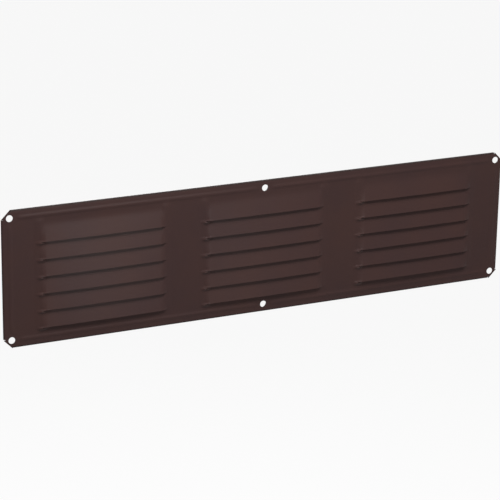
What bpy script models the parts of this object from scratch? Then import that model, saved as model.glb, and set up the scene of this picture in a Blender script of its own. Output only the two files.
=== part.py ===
"""Louvred under-eave soffit vent, 16 x 4 in, stamped from one sheet, with a wire screen held in its hem.

Metres. +X runs along the panel, +Z up its face, and the louvres stand out toward -Y.
The origin is the middle of the mounting plane, which is the back of the folded hem.
"""
import math

import bmesh
import bpy
from mathutils import Matrix

MM = 0.001
INCH = 0.0254

# Panel outline and sheet
PANEL_LENGTH = 16 * INCH
PANEL_HEIGHT = 4 * INCH
SHEET = 0.5 * MM
CORNER_CLIP = 0.25 * INCH
HEM_DEPTH = 11.0 * MM
EAR_OVERHANG = 0.1 * MM
RELIEF_SLIT = 0.5 * MM
MITRE_RUN = 8.0 * MM

# Border: the stiffening bead and the nail holes share one line round the panel
BORDER_LINE = 5.9 * MM
BEAD_WIDTH = 5.0 * MM
BEAD_RISE = 0.55 * MM
BEAD_STOP = 15.0 * MM
BEAD_FADE = 5.0 * MM
FLAT_BY_HOLE = 4.0 * MM
HOLE_DIAMETER = 4.8 * MM

# Louvres
BANKS = 3
SIDE_MARGIN = 26.8 * MM
BANK_GAP = 28.4 * MM
END_MARGIN = 0.5 * INCH
LOUVRE_PITCH = 0.5 * INCH
LOUVRE_RISE = 2.4 * MM
BOW = 0.25
SLIT = 0.5 * MM
WALL_AT_TOP = 6.2 * MM
WALL_AT_LIP = 5.4 * MM
FIRST_LEAD = 2.4 * MM
FIRST_BEND = 0.3

# Insect screen, eight wires to the inch each way
WIRE = 0.30 * MM
WIRE_PITCH = INCH / 8
FIT_GAP = 0.30 * MM
SCREEN_END_GAP = 1.25 * MM

# Steps that the curves are drawn with
FOLD_STEPS = 5
BEAD_STEPS = 4
RAMP_STEPS = 6
BOW_STEPS = 6
FIRST_ROWS = 6
SAME_PLACE = 0.25 * MM
FLAT_ENOUGH = math.radians(0.05)
TOUCH = 0.0001 * MM
SHARE_TOUCH = 0.00001
HOLE_SIDES = 24

# Sizes that follow from those above
HALF_LENGTH = PANEL_LENGTH / 2
HALF_HEIGHT = PANEL_HEIGHT / 2
HEM_THICKNESS = 2 * SHEET + 2 * WIRE + 3 * FIT_GAP
FOLD_RADIUS = HEM_THICKNESS / 2
FRONT = -HEM_THICKNESS
EAR_END = CORNER_CLIP + EAR_OVERHANG
FLAP_START = EAR_END + RELIEF_SLIT
HOLE_RADIUS = HOLE_DIAMETER / 2
LOUVRE_LENGTH = (PANEL_LENGTH - 2 * SIDE_MARGIN - (BANKS - 1) * BANK_GAP) / BANKS
LOUVRES = int((PANEL_HEIGHT - 2 * END_MARGIN) / LOUVRE_PITCH + 0.001)
FIRST_LIP = HALF_HEIGHT - (PANEL_HEIGHT - LOUVRES * LOUVRE_PITCH) / 2 - LOUVRE_PITCH
LIPS = [FIRST_LIP - row * LOUVRE_PITCH for row in range(LOUVRES)]
FACE_HEIGHT = LOUVRE_PITCH - SLIT
BANK_STARTS = [SIDE_MARGIN - HALF_LENGTH + bank * (LOUVRE_LENGTH + BANK_GAP) for bank in range(BANKS)]
WEFT_PLANE = FRONT + SHEET + FIT_GAP + WIRE / 2
WARP_PLANE = WEFT_PLANE + WIRE + FIT_GAP

# Finishes: colour, roughness and metallic value
BROWN_PAINT = ("brown_paint", (0.048, 0.027, 0.024, 1), 0.42, 0.0)
SCREEN_METAL = ("screen_wire", (0.42, 0.42, 0.41, 1), 0.38, 1.0)


def clear_scene():
    """Empties the file that the script runs in."""
    for old in list(bpy.data.objects):
        bpy.data.objects.remove(old, do_unlink=True)


def collection(name):
    """Makes a collection in the scene."""
    group = bpy.data.collections.new(name)
    bpy.context.scene.collection.children.link(group)
    return group


def material(finish):
    """Makes a Principled material from a finish."""
    name, colour, roughness, metallic = finish
    mat = bpy.data.materials.new(name)
    mat.use_nodes = True
    shader = mat.node_tree.nodes["Principled BSDF"]
    shader.inputs["Base Color"].default_value = colour
    shader.inputs["Roughness"].default_value = roughness
    shader.inputs["Metallic"].default_value = metallic
    return mat


def add_object(name, bm, group, mat=None):
    """Turns a bmesh into a named object."""
    mesh = bpy.data.meshes.new(name)
    bm.to_mesh(mesh)
    bm.free()
    obj = bpy.data.objects.new(name, mesh)
    if mat:
        mesh.materials.append(mat)
    group.objects.link(obj)
    return obj


def cut(obj, name, bm, cutters):
    """Takes the solids in a bmesh away from an object."""
    tool = add_object(name, bm, cutters)
    tool.hide_render = True
    tool.display_type = "WIRE"
    step = obj.modifiers.new(name, "BOOLEAN")
    step.operation = "DIFFERENCE"
    step.solver = "EXACT"
    step.object = tool


def bead_height(inset, along, past_hole):
    """Height of the border bead, at a distance in from one edge.

    along is the distance from the nearer corner, and past_hole the distance from the mid nail hole.
    """
    off = abs(inset - BORDER_LINE) / (BEAD_WIDTH / 2)
    if off >= 1:
        return 0.0
    fade = min(max((along - BEAD_STOP + BEAD_FADE) / BEAD_FADE, 0), 1)
    fade *= min(max((past_hole - FLAT_BY_HOLE) / BEAD_FADE, 0), 1)
    return BEAD_RISE * (1 + math.cos(math.pi * off)) / 2 * fade


def face_profile(row, fall):
    """Share of the full rise on a louvre's face, where fall runs from 0 at its top to 1 at its lip."""
    if row > 0:
        return fall
    slope = 1 / (1 - FIRST_BEND / 2)
    if fall < FIRST_BEND:
        return slope * fall * fall / (2 * FIRST_BEND)
    return slope * (fall - FIRST_BEND / 2)


def louvre_rise(x):
    """How far a louvre's lip stands proud at a place along the panel: most in the middle of its length."""
    off = min(abs(x - start - LOUVRE_LENGTH / 2) for start in BANK_STARTS) / (LOUVRE_LENGTH / 2)
    return LOUVRE_RISE * (1 - BOW * off * off)


def louvre_at(z):
    """The louvre whose face is at this height, and how far down the face it is, or None on flat sheet."""
    for row, lip in enumerate(LIPS):
        height = FACE_HEIGHT + (FIRST_LEAD if row == 0 else 0)
        fall = (lip + height - z) / height
        if -SHARE_TOUCH <= fall <= 1 + SHARE_TOUCH:
            return row, min(max(fall, 0), 1)
    return None


def spaced(firm, soft):
    """Sorts stations, and leaves out each soft one that nearly meets another."""
    kept = sorted(firm)
    for place in sorted(soft):
        if all(abs(place - other) > SAME_PLACE for other in kept):
            kept.append(place)
    return sorted(kept)


def border_stations():
    """Distances in from an edge at which the border needs vertices: firm ones and soft ones."""
    bead_start = BORDER_LINE - BEAD_WIDTH / 2
    bead = [bead_start + BEAD_WIDTH * step / BEAD_STEPS for step in range(BEAD_STEPS + 1)]
    fade = [BEAD_STOP - BEAD_FADE, BEAD_STOP]
    return [FOLD_RADIUS, EAR_END, FLAP_START], bead + fade


def fold_stations():
    """Inset and depth behind the front of the sheet, from the free edge of the hem round its fold."""
    places = [(HEM_DEPTH, HEM_THICKNESS)]
    for step in range(FOLD_STEPS + 1):
        turn = math.pi * (1 - step / FOLD_STEPS)
        places.append((FOLD_RADIUS * (1 - math.sin(turn)), FOLD_RADIUS * (1 - math.cos(turn))))
    return places[:-1]


def axis_stations(half, firm, soft):
    """All stations across the sheet in one direction, from one hem's free edge to the other's.

    Each is (place, depth behind the front, steps beyond the fold line, None). In a bank, length_stations puts
    two values in place of the None: the direction into the louvre, and the share of its end wall's width.
    """
    fold = fold_stations()
    low = [(inset - half, depth, len(fold) - i, None) for i, (inset, depth) in enumerate(fold)]
    high = [(-place, depth, beyond, None) for place, depth, beyond, _ in reversed(low)]
    border_firm, border_soft = (
        [sign * (half - inset) for inset in insets for sign in (-1, 1)] for insets in border_stations()
    )
    places = spaced(border_firm + firm, border_soft + soft)
    return low + [(place, 0, 0, None) for place in places] + high


def length_stations():
    """Stations along the panel: the columns of each louvre's end walls, and those between them."""
    feet = [start + shift for start in BANK_STARTS for shift in (0, LOUVRE_LENGTH)]
    bow_pitch = LOUVRE_LENGTH / BOW_STEPS
    along = [start + bow_pitch * step for start in BANK_STARTS for step in range(1, BOW_STEPS)]
    by_hole = [sign * (FLAT_BY_HOLE + shift) for shift in (0, BEAD_FADE) for sign in (-1, 1)]
    stations = []
    for place, depth, beyond, _ in axis_stations(HALF_LENGTH, feet, along + by_hole):
        foot = next((i for i, x in enumerate(feet) if beyond == 0 and abs(x - place) < TOUCH), None)
        if foot is None:
            inside = any(start < place < start + LOUVRE_LENGTH for start in BANK_STARTS)
            stations.append((place, depth, beyond, (0, 1) if inside else None))
            continue
        inward = 1 if foot % 2 == 0 else -1
        shares = range(RAMP_STEPS + 1) if inward > 0 else range(RAMP_STEPS, -1, -1)
        stations += [(place, depth, beyond, (inward, share / RAMP_STEPS)) for share in shares]
    return stations


def height_stations():
    """Stations up the panel: the rows of each louvre's face, its lip and the slit under it."""
    firm = []
    soft = []
    for row, lip in enumerate(LIPS):
        firm += [lip, lip - SLIT]
        if row == 0:
            top = lip + FACE_HEIGHT + FIRST_LEAD
            soft += [top - (top - lip) * step / FIRST_ROWS for step in range(FIRST_ROWS)]
        else:
            soft.append(lip + FACE_HEIGHT / 2)
    return axis_stations(HALF_HEIGHT, firm, soft)


def mitred(place, half):
    """Moves a station on the hem's free edge along it, so that the hems of two edges meet in a mitre."""
    inset = half - abs(place)
    share = 1 - (inset - FLAP_START) / (3 * MITRE_RUN)
    return math.copysign(half - inset - MITRE_RUN * max(share, 0), place)


def on_ear(across):
    """True where the sheet beyond a fold line is the flat ear beside a clipped corner."""
    return across < EAR_END + TOUCH


def sheet_point(column, line):
    """The place on the sheet's outer side of one vertex of the flat pattern."""
    x, depth_x, beyond_x, ramp = column
    z, depth_z, beyond_z, _ = line
    louvre = louvre_at(z) if beyond_z == 0 else None
    if ramp:
        fall = louvre[1] if louvre else 0
        inward, share = ramp
        x += inward * share * (WALL_AT_TOP + (WALL_AT_LIP - WALL_AT_TOP) * fall)
    inset_x = HALF_LENGTH - abs(x)
    inset_z = HALF_HEIGHT - abs(z)
    if beyond_x and on_ear(inset_z):
        x = math.copysign(HALF_LENGTH, x)
        depth_x = 0
    if beyond_z and on_ear(inset_x):
        z = math.copysign(HALF_HEIGHT, z)
        depth_z = 0
    if beyond_x == FOLD_STEPS + 1:
        z = mitred(z, HALF_HEIGHT)
    if beyond_z == FOLD_STEPS + 1:
        x = mitred(x, HALF_LENGTH)
    if beyond_x or beyond_z:
        return x, FRONT + max(depth_x, depth_z), z
    raised = bead_height(inset_z, inset_x, abs(x)) + bead_height(inset_x, inset_z, HALF_LENGTH)
    if louvre and ramp:
        raised += louvre_rise(x) * face_profile(*louvre) * (1 - math.cos(math.pi * ramp[1])) / 2
    return x, FRONT - raised, z


def is_open(left, right, low, high):
    """True for a cell of the flat pattern that is cut away."""
    beyond_x = max(left[2], right[2])
    beyond_z = max(low[2], high[2])
    if beyond_x and beyond_z:
        return True
    for beyond, ends, half in ((beyond_z, (left, right), HALF_LENGTH), (beyond_x, (low, high), HALF_HEIGHT)):
        if not beyond:
            continue
        inset = max(half - abs(end[0]) for end in ends)
        nearest = min(half - abs(end[0]) for end in ends)
        if on_ear(inset):
            return beyond > 1
        return nearest < FLAP_START - TOUCH
    in_bank = any(
        start - TOUCH <= min(left[0], right[0]) and max(left[0], right[0]) <= start + LOUVRE_LENGTH + TOUCH
        for start in BANK_STARTS
    )
    in_slit = any(lip - SLIT - TOUCH <= low[0] and high[0] <= lip + TOUCH for lip in LIPS)
    return in_bank and in_slit


def is_twisted(face):
    """True for a face whose vertices don't lie in one plane."""
    start = face.verts[0].co
    return any(abs((vert.co - start).dot(face.normal)) > TOUCH for vert in face.verts)


def sheet_surface():
    """The outer side of the stamped and folded sheet, as one open surface."""
    columns = length_stations()
    lines = height_stations()
    bm = bmesh.new()
    bmesh.ops.create_grid(bm, x_segments=len(columns) - 1, y_segments=len(lines) - 1, size=1)
    column_of = {}
    line_of = {}
    for vert in bm.verts:
        column_of[vert] = round((vert.co.x + 1) / 2 * (len(columns) - 1))
        line_of[vert] = round((vert.co.y + 1) / 2 * (len(lines) - 1))
    gone = []
    for face in bm.faces:
        i = sorted({column_of[vert] for vert in face.verts})
        j = sorted({line_of[vert] for vert in face.verts})
        if is_open(columns[i[0]], columns[i[1]], lines[j[0]], lines[j[1]]):
            gone.append(face)
    for vert in bm.verts:
        vert.co = sheet_point(columns[column_of[vert]], lines[line_of[vert]])
    bmesh.ops.delete(bm, geom=gone, context="FACES")
    bmesh.ops.recalc_face_normals(bm, faces=bm.faces)
    foremost = min(bm.faces, key=lambda face: face.calc_center_median().y)
    if foremost.normal.y > 0:
        bmesh.ops.reverse_faces(bm, faces=bm.faces)
    bmesh.ops.dissolve_limit(bm, angle_limit=FLAT_ENOUGH, verts=bm.verts, edges=bm.edges, delimit={"NORMAL"})
    bmesh.ops.triangulate(bm, faces=[face for face in bm.faces if is_twisted(face)])
    return bm


def box(bm, low, high):
    """Adds a box between two corners."""
    made = bmesh.ops.create_cube(bm, size=1)["verts"]
    for vert in made:
        vert.co = [(a + b) / 2 + c * (b - a) for a, b, c in zip(low, high, vert.co)]


def prism(bm, outline, low, high):
    """Adds a prism whose outline, in X and Z, is carried along Y."""
    ring = [bm.verts.new((x, low, z)) for x, z in outline]
    base = bm.faces.new(ring)
    grown = bmesh.ops.extrude_face_region(bm, geom=[base])["geom"]
    top = [item for item in grown if isinstance(item, bmesh.types.BMVert)]
    bmesh.ops.translate(bm, verts=top, vec=(0, high - low, 0))
    bmesh.ops.recalc_face_normals(bm, faces=bm.faces)


def hole_cutters():
    """Drills for the nail holes: one in each corner and one half way along each long edge."""
    bm = bmesh.new()
    reach = BORDER_LINE
    for x in (reach - HALF_LENGTH, 0, HALF_LENGTH - reach):
        for z in (reach - HALF_HEIGHT, HALF_HEIGHT - reach):
            made = bmesh.ops.create_cone(
                bm, cap_ends=True, segments=HOLE_SIDES, radius1=HOLE_RADIUS, radius2=HOLE_RADIUS,
                depth=4 * HEM_THICKNESS,
            )["verts"]
            bmesh.ops.rotate(bm, verts=made, matrix=Matrix.Rotation(math.pi / 2, 3, "X"))
            bmesh.ops.translate(bm, verts=made, vec=(x, FRONT / 2, z))
    return bm


def corner_cutters(outline, low, high):
    """One prism at each corner, from an outline given as distances in from the two edges."""
    bm = bmesh.new()
    for side in (-1, 1):
        for end in (-1, 1):
            ring = [(side * (HALF_LENGTH - a), end * (HALF_HEIGHT - b)) for a, b in outline]
            prism(bm, ring, low, high)
    return bm


def make_panel(group, cutters, mat):
    """The louvred panel: sheet, folded hem, clipped corners and nail holes."""
    panel = add_object("louvre_panel", sheet_surface(), group, mat)
    thick = panel.modifiers.new("sheet", "SOLIDIFY")
    thick.thickness = SHEET
    thick.offset = -1
    thick.use_even_offset = True
    thick.use_quality_normals = True
    past = 2 * FOLD_RADIUS
    clip = [(-past, -past), (CORNER_CLIP + past, -past), (-past, CORNER_CLIP + past)]
    cut(panel, "corner_clips", corner_cutters(clip, 2 * FRONT, -FRONT), cutters)
    cut(panel, "nail_holes", hole_cutters(), cutters)
    return panel


def wires_across(half):
    """Places of the parallel wires across one direction, clear of the corner holes."""
    room = half - BORDER_LINE - HOLE_RADIUS - FIT_GAP - WIRE / 2
    count = int(room / WIRE_PITCH)
    return [i * WIRE_PITCH for i in range(-count, count + 1)]


def wire_ladder(name, places, reach, plane, turned, notch, group, cutters, mat):
    """Parallel wires joined by the end wire that binds them inside the hem.

    places are the wires' centres and reach is half their length. turned lays them along X. Wires nearer to the
    middle than notch stop short of the nail hole, on a cross wire of their own.
    """

    def solid(bm, a0, a1, b0, b1, grow):
        low = (b0, plane - grow, a0) if turned else (a0, plane - grow, b0)
        high = (b1, plane + grow, a1) if turned else (a1, plane + grow, b1)
        box(bm, low, high)

    half_wire = WIRE / 2
    sheet = bmesh.new()
    solid(sheet, places[0] - half_wire, places[-1] + half_wire, -reach, reach, half_wire)
    ladder = add_object(name, sheet, group, mat)
    openings = bmesh.new()
    end = reach - WIRE
    stop = HALF_HEIGHT - BORDER_LINE - HOLE_RADIUS - FIT_GAP
    for near, far in zip(places, places[1:]):
        short = notch and (abs(near) < notch or abs(far) < notch)
        half_run = stop - WIRE if short else end
        solid(openings, near + half_wire, far - half_wire, -half_run, half_run, WIRE)
    whole = [place for place in places if abs(place) >= notch]
    if len(whole) < len(places):
        left = max(place for place in whole if place < 0) + half_wire
        right = min(place for place in whole if place > 0) - half_wire
        solid(openings, left, right, stop, end, WIRE)
        solid(openings, left, right, -end, -stop, WIRE)
    cut(ladder, name + "_openings", openings, cutters)
    return ladder


def make_screen(group, cutters, mat):
    """The insect screen: upright warp wires behind level weft wires."""
    inset = FOLD_RADIUS + SCREEN_END_GAP
    notch = HOLE_RADIUS + FIT_GAP + WIRE / 2
    wire_ladder(
        "screen_warp_wires", wires_across(HALF_LENGTH), HALF_HEIGHT - inset, WARP_PLANE, False, notch,
        group, cutters, mat,
    )
    wire_ladder(
        "screen_weft_wires", wires_across(HALF_HEIGHT), HALF_LENGTH - inset, WEFT_PLANE, True, 0,
        group, cutters, mat,
    )


def main():
    clear_scene()
    group = collection("soffit_vent")
    cutters = collection("cutters")
    make_panel(group, cutters, material(BROWN_PAINT))
    make_screen(group, cutters, material(SCREEN_METAL))


main()
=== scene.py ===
"""A louvred soffit vent in dark brown baked paint, on its insect screen, as the photograph shows it."""
import math

import bmesh
import bpy
from mathutils import Matrix, Vector


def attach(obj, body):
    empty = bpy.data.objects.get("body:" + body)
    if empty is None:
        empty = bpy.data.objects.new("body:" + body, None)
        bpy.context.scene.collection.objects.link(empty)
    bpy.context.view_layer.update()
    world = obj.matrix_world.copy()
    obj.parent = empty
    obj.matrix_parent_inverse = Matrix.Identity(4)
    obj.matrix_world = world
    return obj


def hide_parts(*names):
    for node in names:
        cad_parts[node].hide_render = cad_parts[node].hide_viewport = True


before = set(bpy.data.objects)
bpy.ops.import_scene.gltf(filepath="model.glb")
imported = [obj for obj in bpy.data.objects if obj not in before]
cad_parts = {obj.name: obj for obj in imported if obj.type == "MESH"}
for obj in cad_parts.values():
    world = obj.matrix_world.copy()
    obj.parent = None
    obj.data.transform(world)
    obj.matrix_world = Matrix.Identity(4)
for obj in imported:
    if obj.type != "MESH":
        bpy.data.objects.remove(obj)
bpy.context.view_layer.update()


# The camera stands to the vent's left and a little above, far off with a long lens.
# Its place is solved from the panel's corners, nail holes and louvre lips in the photograph.
AIM = Vector((-0.0103, 0, -0.0023))
AZIMUTH = math.radians(-26.1)
ELEVATION = math.radians(17.8)
ROLL = math.radians(0.88)
DISTANCE = 1.563
LENS = 152.8

backward = Vector((
    math.sin(AZIMUTH) * math.cos(ELEVATION), -math.cos(AZIMUTH) * math.cos(ELEVATION), math.sin(ELEVATION)
))
level = Vector((0, 0, 1)).cross(backward).normalized()
upward = backward.cross(level)
sideways = level * math.cos(ROLL) + upward * math.sin(ROLL)
upright = upward * math.cos(ROLL) - level * math.sin(ROLL)
camera = bpy.data.objects.new("camera", bpy.data.cameras.new("camera"))
camera.data.lens = LENS
camera.data.clip_start = 0.05
camera.data.clip_end = 100
camera.matrix_world = Matrix.Translation(AIM + backward * DISTANCE) @ Matrix(
    (sideways, upright, backward)
).transposed().to_4x4()
bpy.context.collection.objects.link(camera)
bpy.context.scene.camera = camera


# The panel: one sheet of coated aluminium, its louvres lanced and drawn out by a press, its edges folded
# back into a hem on the screen. Its flat pattern is a grid of columns and lines, and each vertex is then
# put where the press leaves that point of the sheet.
MM = 0.001
INCH = 0.0254
LENGTH = 16 * INCH
HEIGHT = 4 * INCH
SHEET = 0.5 * MM
HEM_THICKNESS = 2.5 * MM
FOLD_RADIUS = HEM_THICKNESS / 2
FRONT = -HEM_THICKNESS
HEM_DEPTH = 11.0 * MM
CORNER_CLIP = 0.25 * INCH
EAR_END = CORNER_CLIP + 0.1 * MM
FLAP_START = EAR_END + 0.5 * MM
MITRE_RUN = 8.0 * MM
MITRE_LENGTH = 3 * MITRE_RUN
FOLD_STEPS = 12

# The bead is pressed inside the border, and the nail holes stand on its line.
BEAD_LINE = 5.9 * MM
BEAD_WIDTH = 5.0 * MM
BEAD_RISE = 0.30 * MM
BEAD_STOP = 15.0 * MM
BEAD_FADE = 5.0 * MM
BEAD_STEPS = 12
FADE_STEPS = 4
HOLE_RADIUS = 2.45 * MM
HOLE_FLARE = 0.35
HOLE_SIDES = 48
PUNCH_AHEAD = 1.5 * HEM_THICKNESS
PUNCH_BEHIND = 2.5 * HEM_THICKNESS
FLAT_BY_HOLE = 4.0 * MM

# Each louvre leaves the sheet along its top, rises to its lip over the slit, and ends in a wall each side.
LOUVRE_RISE = 2.4 * MM
BOW = 0.25
LOUVRE_PITCH = 0.5 * INCH
LOUVRES = 6
BANKS = 3
BANK_START = 26.8 * MM
BANK_GAP = 28.4 * MM
BANK_LENGTH = (LENGTH - 2 * BANK_START - (BANKS - 1) * BANK_GAP) / BANKS
FIRST_LIP = HEIGHT / 2 - 0.5 * INCH - LOUVRE_PITCH
FIRST_LEAD = 2.4 * MM
FIRST_BEND = 0.3
SLIT = 0.15 * MM
SLIT_END = 2.4 * MM
SLIT_CLOSED = 0.9
FACE = LOUVRE_PITCH - SLIT
WALL_TOP = 6.2 * MM
WALL_LIP = 5.4 * MM
# The toe is the low mound at a slit's left end, and the skirt the low swell along both ends of a bank.
TOE_RISE = 1.05 * MM
TOE_PLACE = 2.4 * MM
TOE_LENGTH = 4.8 * MM
TOE_DROP = 1.0 * MM
TOE_REACH = 1.8 * MM
TOE_LINES = 4
SKIRT_RISE = 0.45 * MM
SKIRT_OUT = 4.5 * MM
SKIRT_PEAK = 1.5 * MM
SKIRT_IN = 5.5 * MM
SKIRT_FADE = 4.0 * MM
SKIRT_STEPS = 6
# How finely the grid follows the ramps, the bow of the lips and a louvre's face from its top to its lip.
RAMP_STEPS = 14
BOW_STEPS = 44
CLOSEST = 0.12 * MM
ROUNDING = 1e-7
PANEL_CREASE = 28
FACE_SHARES = (
    0, 0.04, 0.08, 0.12, 0.16, 0.21, 0.30, 0.44, 0.58, 0.72, 0.82, 0.89, 0.945, 1
)

half_x = LENGTH / 2
half_z = HEIGHT / 2
lips = [FIRST_LIP - row * LOUVRE_PITCH for row in range(LOUVRES)]
banks = [BANK_START - half_x + bank * (BANK_LENGTH + BANK_GAP) for bank in range(BANKS)]


def stations(half, inner):
    """Places across the sheet one way: (place, depth behind the front, steps past the fold line, extra).

    The extra says what the press does at a place of a louvre: a ramp's share, a face's share or the slit.
    """
    fold = [(HEM_DEPTH, HEM_THICKNESS)]
    for step in range(FOLD_STEPS):
        turn = math.pi * (1 - step / FOLD_STEPS)
        fold.append((FOLD_RADIUS * (1 - math.sin(turn)), FOLD_RADIUS * (1 - math.cos(turn))))
    low = [(inset - half, depth, len(fold) - i, None) for i, (inset, depth) in enumerate(fold)]
    high = [(-place, depth, beyond, None) for place, depth, beyond, _ in reversed(low)]
    bead = [BEAD_LINE + BEAD_WIDTH * (step / BEAD_STEPS - 0.5) for step in range(BEAD_STEPS + 1)]
    fade = [BEAD_STOP - BEAD_FADE * (1 - step / FADE_STEPS) for step in range(FADE_STEPS + 1)]
    firm = [FOLD_RADIUS, EAR_END, FLAP_START]
    soft = [inset for inset in bead + fade if all(abs(inset - other) > CLOSEST for other in firm)]
    border = [sign * (half - inset) for inset in firm + soft for sign in (-1, 1)]
    first = min(item[0] for item in inner) - CLOSEST
    last = max(item[0] for item in inner) + CLOSEST
    outer = [(place, 0, 0, None) for place in border if not first < place < last]
    middle = sorted(outer + inner, key=lambda item: item[0])
    return low + middle + high


def across_columns():
    """Columns along the panel: the swell's and the ramps' at each bank's ends, the bow's between them."""
    inner = []
    for start in banks:
        for foot, inward in ((start, 1), (start + BANK_LENGTH, -1)):
            for step in range(1, SKIRT_STEPS + 1):
                inner.append((foot - inward * SKIRT_OUT * step / SKIRT_STEPS, 0, 0, None))
            for step in range(RAMP_STEPS + 1):
                share = step / RAMP_STEPS
                inner.append((foot + inward * share * WALL_TOP, 0, 0, (inward, share)))
        for step in range(1, BOW_STEPS):
            along = (BANK_LENGTH - 2 * WALL_TOP) * step / BOW_STEPS
            inner.append((start + WALL_TOP + along, 0, 0, (0, 1)))
    return stations(half_x, inner)


def up_lines():
    """Lines up the panel: each louvre's face from top to lip, the slit under it, and the last mounds."""
    inner = []
    for row, lip in enumerate(lips):
        height = FACE + (FIRST_LEAD if row == 0 else 0)
        inner.append((lip - SLIT, 0, 0, "slit"))
        for fall in FACE_SHARES:
            if row and not fall:
                continue
            inner.append((lip + height * (1 - fall), 0, 0, (row, fall)))
    for step in range(1, TOE_LINES + 1):
        inner.append((lips[-1] - SLIT - step * TOE_REACH / (TOE_LINES - 1), 0, 0, None))
    return stations(half_z, inner)


def bead_height(inset, along, past_hole):
    """The border bead's height. It dies away before each corner and on both sides of a mid nail hole."""
    off = abs(inset - BEAD_LINE) / (BEAD_WIDTH / 2)
    if off >= 1:
        return 0
    ends = min(max((along - BEAD_STOP + BEAD_FADE) / BEAD_FADE, 0), 1)
    hole = min(max((past_hole - FLAT_BY_HOLE) / BEAD_FADE, 0), 1)
    fade = ends * ends * (3 - 2 * ends) * hole * hole * (3 - 2 * hole)
    return BEAD_RISE * (1 + math.cos(math.pi * off)) / 2 * fade


def face_profile(row, fall):
    """Share of the rise down a louvre's face. The first louvre leaves the flat sheet in a soft bend."""
    if row:
        return fall
    slope = 1 / (1 - FIRST_BEND / 2)
    return slope * (fall * fall / (2 * FIRST_BEND) if fall < FIRST_BEND else fall - FIRST_BEND / 2)


def louvre_rise(x):
    """How far a louvre's lip stands proud at a place along the panel: most in the middle of its length."""
    off = min(abs(x - start - BANK_LENGTH / 2) for start in banks) / (BANK_LENGTH / 2)
    return LOUVRE_RISE * (1 - BOW * off * off)


def toe_height(x, z):
    """The low mound that the press raises in the sheet round the left end of each slit."""
    along = min(abs(x - start - TOE_PLACE) for start in banks) / TOE_LENGTH
    across = min(abs(z - lip + TOE_DROP) for lip in lips) / TOE_REACH
    if max(along, across) >= 1:
        return 0
    return TOE_RISE * (1 + math.cos(math.pi * along)) / 2 * (1 + math.cos(math.pi * across)) / 2


def skirt_height(x, z):
    """The low swell that the press leaves along both ends of a bank, past the ends of its slits."""
    bank = min(banks, key=lambda start: abs(x - start - BANK_LENGTH / 2))
    out = abs(x - bank - BANK_LENGTH / 2) - BANK_LENGTH / 2
    reach = SKIRT_OUT + SKIRT_PEAK if out > -SKIRT_PEAK else SKIRT_IN - SKIRT_PEAK
    off = min(abs(out + SKIRT_PEAK) / reach, 1)
    past = max(lips[-1] - z, z - lips[0] - FACE - FIRST_LEAD, 0)
    return SKIRT_RISE * (1 + math.cos(math.pi * off)) / 2 * max(1 - past / SKIRT_FADE, 0)


def mitred(place, half):
    """The hem's free edge is cut back towards each corner, so that two hems meet in a mitre."""
    inset = half - abs(place)
    share = 1 - (inset - FLAP_START) / MITRE_LENGTH
    return math.copysign(half - inset - MITRE_RUN * max(share, 0), place)


def pressed(column, line):
    """Where the press leaves one point of the flat sheet, on its painted side."""
    x, depth_x, beyond_x, ramp = column
    z, depth_z, beyond_z, face = line
    inset_x, inset_z = half_x - abs(x), half_z - abs(z)
    if beyond_x and inset_z < EAR_END + ROUNDING:
        x, depth_x = math.copysign(half_x, x), 0
    if beyond_z and inset_x < EAR_END + ROUNDING:
        z, depth_z = math.copysign(half_z, z), 0
    if beyond_x == FOLD_STEPS + 1:
        z = mitred(z, half_z)
    if beyond_z == FOLD_STEPS + 1:
        x = mitred(x, half_x)
    if beyond_x or beyond_z:
        return x, FRONT + max(depth_x, depth_z), z
    raised = bead_height(inset_z, inset_x, abs(x)) + bead_height(inset_x, inset_z, half_x)
    raised += skirt_height(x, z) + toe_height(x, z)
    # A slit closes towards its ends. Straight sheet lies there, and the room behind it would show through.
    if face == "slit":
        left = min(abs(x - start) for start in banks) / TOE_LENGTH
        right = min(abs(x - start - BANK_LENGTH) for start in banks) / SLIT_END
        z += SLIT_CLOSED * SLIT * min(max(2 - 2 * min(left, right), 0), 1)
    elif ramp and face:
        inward, share = ramp
        x += inward * share * (WALL_LIP - WALL_TOP) * face[1]
        raised += louvre_rise(x) * face_profile(*face) * (1 - math.cos(math.pi * share)) / 2
    return x, FRONT - raised, z


def cut_away(left, right, low, high):
    """True for a cell of the flat pattern that is cut out: a corner notch or a part of a slit."""
    beyond_x, beyond_z = max(left[2], right[2]), max(low[2], high[2])
    if beyond_x and beyond_z:
        return True
    for beyond, ends, half in ((beyond_z, (left, right), half_x), (beyond_x, (low, high), half_z)):
        if beyond:
            insets = [half - abs(end[0]) for end in ends]
            return beyond > 1 if max(insets) < EAR_END + ROUNDING else min(insets) < FLAP_START - ROUNDING
    in_bank = any(
        start - ROUNDING <= left[0] and right[0] <= start + BANK_LENGTH + ROUNDING for start in banks
    )
    in_slit = any(lip - SLIT - ROUNDING <= low[0] and high[0] <= lip + ROUNDING for lip in lips)
    return in_bank and in_slit


columns = across_columns()
lines = up_lines()
bm = bmesh.new()
bmesh.ops.create_grid(bm, x_segments=len(columns) - 1, y_segments=len(lines) - 1, size=1)
spot = {
    vert: (
        round((vert.co.x + 1) / 2 * (len(columns) - 1)),
        round((vert.co.y + 1) / 2 * (len(lines) - 1)),
    )
    for vert in bm.verts
}
waste = []
for face in bm.faces:
    i = min(spot[vert][0] for vert in face.verts)
    j = min(spot[vert][1] for vert in face.verts)
    if cut_away(columns[i], columns[i + 1], lines[j], lines[j + 1]):
        waste.append(face)
for vert, (i, j) in spot.items():
    vert.co = pressed(columns[i], lines[j])
bmesh.ops.delete(bm, geom=waste, context="FACES")
bmesh.ops.recalc_face_normals(bm, faces=bm.faces)
if min(bm.faces, key=lambda face: face.calc_center_median().y).normal.y > 0:
    bmesh.ops.reverse_faces(bm, faces=bm.faces)
panel_mesh = bpy.data.meshes.new("pressed_panel")
bm.to_mesh(panel_mesh)
bm.free()
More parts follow.
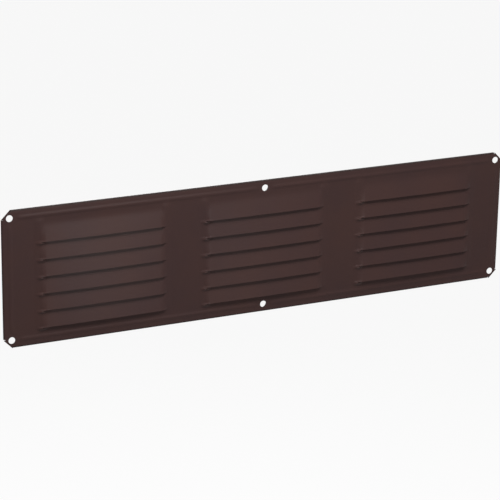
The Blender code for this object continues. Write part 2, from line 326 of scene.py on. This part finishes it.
panel = bpy.data.objects.new("pressed_panel", panel_mesh)
bpy.context.collection.objects.link(panel)
gauge = panel.modifiers.new("sheet", "SOLIDIFY")
gauge.thickness = SHEET
gauge.offset = -1
gauge.use_even_offset = True
gauge.use_quality_normals = True
gauge.material_offset = 1
gauge.material_offset_rim = 2

# The punches: a slightly tapered one for each nail hole, and a wedge that clips each corner.
punches = bmesh.new()
for x in (BEAD_LINE - half_x, 0, half_x - BEAD_LINE):
    for z in (BEAD_LINE - half_z, half_z - BEAD_LINE):
        turned = Matrix.Translation((x, FRONT / 2, z)) @ Matrix.Rotation(math.pi / 2, 4, "X")
        bmesh.ops.create_cone(
            punches, cap_ends=True, segments=HOLE_SIDES, depth=PUNCH_AHEAD + PUNCH_BEHIND,
            radius1=HOLE_RADIUS + HOLE_FLARE * PUNCH_BEHIND,
            radius2=HOLE_RADIUS - HOLE_FLARE * PUNCH_AHEAD,
            matrix=turned,
        )
for side in (-1, 1):
    for end in (-1, 1):
        past = 2 * FOLD_RADIUS
        ring = [(-past, -past), (CORNER_CLIP + past, -past), (-past, CORNER_CLIP + past)]
        base = punches.faces.new([
            punches.verts.new((side * (half_x - a), 2 * FRONT, end * (half_z - b))) for a, b in ring
        ])
        grown = bmesh.ops.extrude_face_region(punches, geom=[base])["geom"]
        lifted = [item for item in grown if isinstance(item, bmesh.types.BMVert)]
        bmesh.ops.translate(punches, verts=lifted, vec=(0, -3 * FRONT, 0))
bmesh.ops.recalc_face_normals(punches, faces=punches.faces)
punch_mesh = bpy.data.meshes.new("punches")
punches.to_mesh(punch_mesh)
punches.free()
punch = bpy.data.objects.new("punches", punch_mesh)
bpy.context.collection.objects.link(punch)
shear = panel.modifiers.new("punched", "BOOLEAN")
shear.operation = "DIFFERENCE"
shear.solver = "EXACT"
shear.object = punch


def settled(piece, crease):
    """Applies a piece's modifiers, and shades it smooth except where it turns by more than the crease."""
    done = bpy.data.meshes.new_from_object(piece.evaluated_get(bpy.context.evaluated_depsgraph_get()))
    piece.modifiers.clear()
    piece.data = done
    done.name = piece.name
    done.shade_smooth()
    done.set_sharp_from_angle(angle=math.radians(crease))


class Wire:
    """One socket's value in a material. Operators add the nodes that work the expression out."""

    def __init__(self, tree, socket):
        self.tree = tree
        self.socket = socket

    def node(self, kind, settings=(), **values):
        """Adds a node of any kind: its settings first, then its sockets' values or links."""
        made = self.tree.nodes.new("ShaderNode" + kind)
        for name, value in dict(settings).items():
            setattr(made, name, value)
        for name, value in values.items():
            key = int(name[1:]) if name[0] == "n" and name[1:].isdigit() else name.replace("_", " ")
            self.feed(made.inputs[key], value)
        return made

    def feed(self, socket, value):
        """Links a wire to a socket, or sets the socket's own value."""
        if isinstance(value, Wire):
            self.tree.links.new(value.socket, socket)
        else:
            socket.default_value = value

    def out(self, kind, settings=(), output=0, **values):
        """The wire that comes out of a new node."""
        return Wire(self.tree, self.node(kind, settings, **values).outputs[output])

    def maths(self, operation, a, b):
        """One Math node on two values or wires."""
        return self.out("Math", {"operation": operation}, n0=a, n1=b)

    def __add__(self, other):
        return self.maths("ADD", self, other)

    __radd__ = __add__

    def __sub__(self, other):
        return self.maths("SUBTRACT", self, other)

    def __rsub__(self, other):
        return self.maths("SUBTRACT", other, self)

    def __mul__(self, other):
        return self.maths("MULTIPLY", self, other)

    __rmul__ = __mul__

    def mix(self, low, high):
        """A colour between two, by this wire's value."""
        return self.out("Mix", {"data_type": "RGBA"}, output=2, Factor=self, n6=low, n7=high)

    def within(self, low, high):
        """This value as a share of the way from low to high, kept between 0 and 1."""
        return self.out("MapRange", {"clamp": True}, Value=self, From_Min=low, From_Max=high)


def finish_of(name):
    """A new material: its Principled node, a wire to build on, and the object's own coordinates."""
    material = bpy.data.materials.new(name)
    material.use_nodes = True
    shader = material.node_tree.nodes["Principled BSDF"]
    start = Wire(material.node_tree, None)
    place = start.out("TexCoord", output=3)
    return material, shader, start, place


# Satin baked enamel: dark brown, with the faint orange peel of a sprayed coat and slow changes of tone.
# A painted shade darkens it along the top and bottom folds, and it is most worn at the cut edges.
PAINT_WARM = (0.0405, 0.0203, 0.0180, 1)
PAINT_DULL = (0.0359, 0.0189, 0.0180, 1)
PAINT_WORN = (0.0700, 0.0455, 0.0403, 1)
PAINT_FOLD_SHADE = (0.0175, 0.0091, 0.0081, 1)
PAINT_SPECULAR = 0.10
FOLD_SHADE_START = 1.3 * MM
FOLD_SHADE_FULL = 0.7 * MM
TONE_SCALE = 22.0
PEEL_SCALE = 900.0
PEEL_DEPTH = 0.02 * MM
SPECK_SCALE = 2600.0


def paint(name, roughness, peel, worn):
    """Brown paint with a given roughness, strength of orange peel and share of wear."""
    material, shader, start, place = finish_of(name)
    tone = start.out("TexNoise", Vector=place, Scale=TONE_SCALE, Detail=3.0)
    fine = start.out("TexNoise", Vector=place, Scale=PEEL_SCALE, Detail=2.0, Roughness=0.55)
    speck = start.out("TexNoise", Vector=place, Scale=SPECK_SCALE, Detail=1.0)
    base = tone.within(0.35, 0.65).mix(PAINT_DULL, PAINT_WARM)
    scuffed = speck.within(0.60, 0.78) * worn
    at = start.node("SeparateXYZ", Vector=place)
    # Painted shade: the colour turns darker over the last millimetre or so towards the top and bottom
    # edges, standing in for the shade on the folds.
    height = start.out("Math", {"operation": "ABSOLUTE"}, n0=Wire(start.tree, at.outputs[2]))
    fold = height.within(half_z - FOLD_SHADE_START, half_z - FOLD_SHADE_FULL)
    start.feed(shader.inputs["Base Color"], fold.mix(scuffed.mix(base, PAINT_WORN), PAINT_FOLD_SHADE))
    start.feed(shader.inputs["Roughness"], roughness + 0.05 * (tone - 0.5) + 0.06 * (fine - 0.5))
    shader.inputs["Specular IOR Level"].default_value = PAINT_SPECULAR
    skin = start.out("Bump", Strength=peel, Distance=PEEL_DEPTH, Height=fine)
    start.feed(shader.inputs["Normal"], skin)
    return material


panel_mesh.materials.append(paint("brown_enamel", roughness=0.35, peel=0.35, worn=0.05))
panel_mesh.materials.append(paint("brown_enamel_reverse", roughness=0.58, peel=0.60, worn=0.20))
panel_mesh.materials.append(paint("brown_enamel_edge", roughness=0.50, peel=0.50, worn=0.55))
settled(panel, PANEL_CREASE)
bpy.data.objects.remove(punch, do_unlink=True)
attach(panel, "root")
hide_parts("louvre_panel")


# The insect screen: bare drawn aluminium wire, plain woven, eight wires to the inch each way. Each wire
# passes over and under those that cross it. The hem grips the cloth all round, clear of the nail holes.
WIRE_RADIUS = 0.14 * MM
MESH = INCH / 8
WEAVE_SWING = 0.143 * MM
CLOTH_PLANE = FRONT + HEM_THICKNESS / 2
WIRE_SIDES = 6
WIRE_CREASE = 65
STEPS_A_CROSSING = 3
END_GAP = 2 * FOLD_RADIUS
HOLE_GAP = 0.9 * MM
CLEAR_OF_HOLE = HOLE_RADIUS + HOLE_GAP
WIRE_BRIGHT = (0.60, 0.60, 0.59, 1)
WIRE_DULL = (0.40, 0.40, 0.395, 1)
WEATHER_SCALE = 60.0
DRAW_MARK_SCALE = 2500.0
DRAW_MARK_DEPTH = 0.01 * MM


def drawn_wire(run, over, along_x):
    """One wire through the middle of the cloth, swung over and under the wires that cross it."""
    rod = bmesh.new()
    bmesh.ops.create_cone(
        rod, cap_ends=True, segments=WIRE_SIDES, radius1=WIRE_RADIUS, radius2=WIRE_RADIUS,
        depth=2 * run,
    )
    sides = [edge for edge in rod.edges if edge.calc_length() > run]
    bmesh.ops.subdivide_edges(rod, edges=sides, cuts=int(2 * run / MESH * STEPS_A_CROSSING) - 1)
    for vert in rod.verts:
        u, v, w = vert.co
        swing = over * WEAVE_SWING * math.cos(math.pi * w / MESH)
        vert.co = (w, CLOTH_PLANE - swing + v, u) if along_x else (u, CLOTH_PLANE + swing + v, w)
    bmesh.ops.recalc_face_normals(rod, faces=rod.faces)
    mesh = bpy.data.meshes.new("drawn_wire")
    rod.to_mesh(mesh)
    rod.free()
    return mesh


def woven(name, half, reach, along_x, notch_run):
    """One set of the cloth's wires. Those beside a mid nail hole stop short of it, at notch_run."""
    count = int((half - BEAD_LINE - CLEAR_OF_HOLE - WIRE_RADIUS) / MESH)
    notch = CLEAR_OF_HOLE + WIRE_RADIUS if notch_run else 0
    cloth = bmesh.new()
    for number in range(-count, count + 1):
        across = number * MESH
        run = notch_run if abs(across) < notch else reach
        rod = drawn_wire(run, 1 if number % 2 == 0 else -1, along_x)
        first = len(cloth.verts)
        cloth.from_mesh(rod)
        cloth.verts.ensure_lookup_table()
        shift = (0, 0, across) if along_x else (across, 0, 0)
        bmesh.ops.translate(cloth, verts=cloth.verts[first:], vec=shift)
        bpy.data.meshes.remove(rod)
    mesh = bpy.data.meshes.new(name)
    cloth.to_mesh(mesh)
    cloth.free()
    mesh.shade_smooth()
    mesh.set_sharp_from_angle(angle=math.radians(WIRE_CREASE))
    piece = bpy.data.objects.new(name, mesh)
    bpy.context.collection.objects.link(piece)
    return piece


def bare_wire():
    """Bare drawn aluminium: bright, with fine drawing marks and dull, weathered stretches."""
    material, shader, start, place = finish_of("bare_wire")
    weather = start.out("TexNoise", Vector=place, Scale=WEATHER_SCALE, Detail=3.0)
    marks = start.out("TexNoise", Vector=place, Scale=DRAW_MARK_SCALE, Detail=2.0)
    dull = weather.within(0.35, 0.70)
    start.feed(shader.inputs["Base Color"], dull.mix(WIRE_BRIGHT, WIRE_DULL))
    start.feed(shader.inputs["Roughness"], 0.28 + 0.20 * dull + 0.10 * (marks - 0.5))
    shader.inputs["Metallic"].default_value = 1.0
    skin = start.out("Bump", Strength=0.3, Distance=DRAW_MARK_DEPTH, Height=marks)
    start.feed(shader.inputs["Normal"], skin)
    return material


warp = woven("screen_warp", half_x, half_z - END_GAP, False, half_z - BEAD_LINE - CLEAR_OF_HOLE)
weft = woven("screen_weft", half_z, half_x - END_GAP, True, 0)
for cloth_piece, node in ((warp, "screen_warp_wires"), (weft, "screen_weft_wires")):
    cloth_piece.data.materials.append(bare_wire())
    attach(cloth_piece, "root")
    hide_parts(node)


# The studio: a white floor well below the vent, which hangs by its fixings, and white all round. The
# camera and reflections see both as white, and the vent is lit by them at a plain level.
FLOOR_DROP = 0.55
FLOOR_HALF = 40
FLOOR_TONE = (0.8, 0.8, 0.8, 1)
FLOOR_WHITE = 0.92


def white_share(start, seen):
    """How white a surface turns: wholly for reflections and glass, by the given share for the camera."""
    rays = start.node("LightPath")
    direct = Wire(start.tree, rays.outputs["Is Camera Ray"]) * seen
    mirrored = Wire(start.tree, rays.outputs["Is Glossy Ray"])
    through = Wire(start.tree, rays.outputs["Is Transmission Ray"])
    return start.maths("MAXIMUM", start.maths("MAXIMUM", direct, mirrored), through)


floor_mesh = bpy.data.meshes.new("floor")
bm = bmesh.new()
bmesh.ops.create_grid(bm, x_segments=1, y_segments=1, size=FLOOR_HALF)
bmesh.ops.translate(bm, verts=bm.verts, vec=(0, 0, -FLOOR_DROP))
bm.to_mesh(floor_mesh)
bm.free()
floor = bpy.data.objects.new("floor", floor_mesh)
bpy.context.collection.objects.link(floor)
floor_finish, shader, start, _ = finish_of("floor")
shader.inputs["Base Color"].default_value = FLOOR_TONE
shader.inputs["Roughness"].default_value = 0.9
white = start.out("Emission", Color=(1, 1, 1, 1), Strength=1.0)
plain = Wire(start.tree, shader.outputs[0])
blend = start.out("MixShader", n0=white_share(start, FLOOR_WHITE), n1=plain, n2=white)
start.feed(floor_finish.node_tree.nodes["Material Output"].inputs["Surface"], blend)
floor_mesh.materials.append(floor_finish)

ROOM_LEVEL = 0.115
world = bpy.data.worlds.new("studio")
world.use_nodes = True
bpy.context.scene.world = world
start = Wire(world.node_tree, None)
room = world.node_tree.nodes["Background"]
room.inputs["Color"].default_value = (1, 1, 1, 1)
start.feed(room.inputs["Strength"], white_share(start, 1.0) * (1 - ROOM_LEVEL) + ROOM_LEVEL)

# Lamps: (name, place, aim, size each way, watts). Two high ones, in front and on the right, throw the
# shadow under each lip. Two nearer ones light the left half, a low one lays its sheen on the left bank,
# and one behind lights the back, which the photograph doesn't show.
LAMPS = (
    ("high_lamp", (0, -0.412, 1.020), (0, 0, 0), (0.35, 0.35), 4.6),
    ("right_lamp", (0.500, -0.389, 0.850), (0, 0, 0), (0.35, 0.35), 4.9),
    ("near_lamp", (-0.200, -0.400, 0.640), (-0.10, 0, 0), (0.25, 0.20), 4.3),
    ("left_lamp", (-0.350, -0.300, 0.450), (-0.175, 0, 0), (0.25, 0.20), 0.46),
    ("sheen_lamp", (0.120, -0.750, 0.120), (-0.12, 0, 0), (0.20, 0.15), 1.0),
    ("back_lamp", (0.250, 0.850, 0.400), (0, 0, 0), (0.40, 0.40), 6.8),
)
for name, stand, aim, size, watts in LAMPS:
    lamp = bpy.data.lights.new(name, "AREA")
    lamp.shape = "RECTANGLE"
    lamp.size, lamp.size_y = size
    lamp.energy = watts
    holder = bpy.data.objects.new(name, lamp)
    holder.location = stand
    holder.rotation_euler = (Vector(stand) - Vector(aim)).to_track_quat("Z", "Y").to_euler()
    holder.visible_camera = False
    bpy.context.collection.objects.link(holder)

bpy.context.scene.view_settings.view_transform = "Standard"
bpy.context.view_layer.update()
